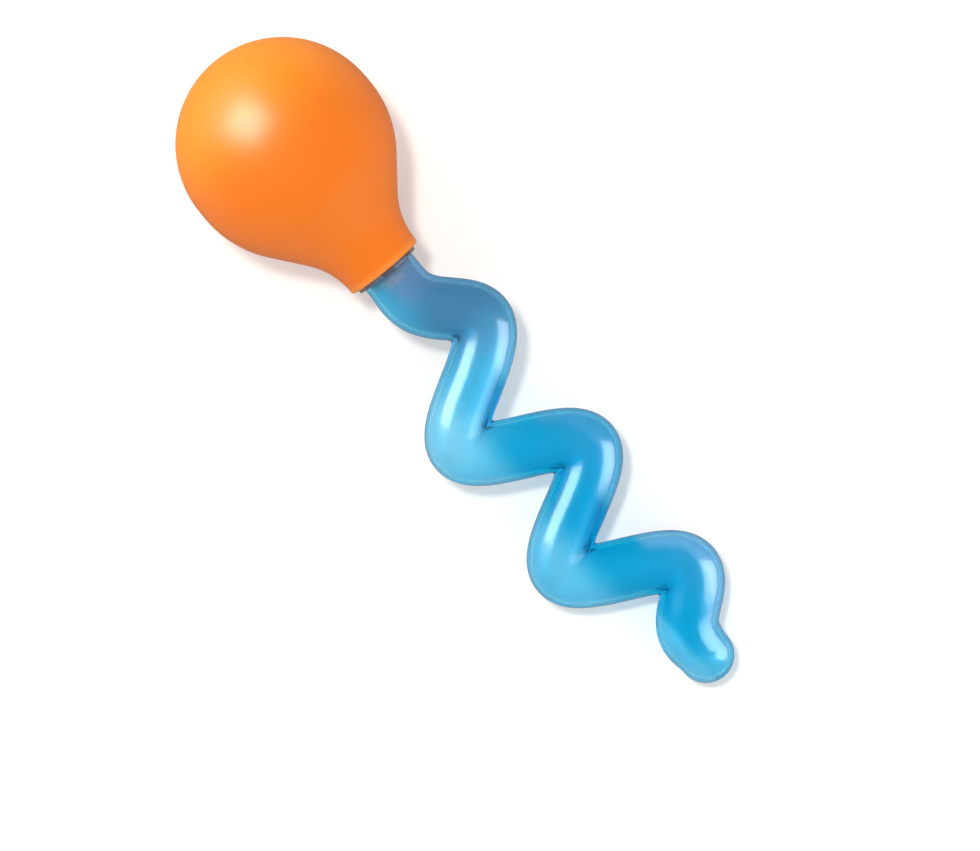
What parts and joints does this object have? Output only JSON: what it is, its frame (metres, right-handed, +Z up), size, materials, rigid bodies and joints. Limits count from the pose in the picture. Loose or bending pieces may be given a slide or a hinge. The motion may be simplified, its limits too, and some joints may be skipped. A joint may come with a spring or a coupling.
{
  "type": "water squirter",
  "caption": "Wavy water squirter: a soft round squeeze bulb on a flanged push-in plug, and a clear zigzag tube that ends in a round tip with a small outlet.",
  "frame": {"origin": "point on the table under the middle of the squirter's bounding box, as it lies", "axes": "+X from the bulb towards the tip, +Z up from the table"},
  "size_m": [0.1594, 0.0426, 0.0428],
  "materials": {
    "bulb_rubber": "satin moulded rubber",
    "plug_plastic": "glossy moulded plastic",
    "tube_plastic": "glossy clear tinted plastic"
  },
  "bodies": {
    "tube": {"wavy_tube": "tube_plastic"},
    "plug": {"neck_plug": "plug_plastic"},
    "bulb": {"squeeze_bulb": "bulb_rubber"}
  },
  "joints": [
    {"name": "plug_pull", "type": "slide", "parent": "tube", "child": "plug", "axis": [-0.993, 0, 0.118], "range_m": [0, 0.012]},
    {"name": "bulb_squeeze", "type": "slide", "parent": "plug", "child": "bulb", "axis": [0.993, 0, -0.118], "range_m": [0, 0.014], "stiffness_N_per_m": 700, "deforming": ["squeeze_bulb"]}
  ]
}
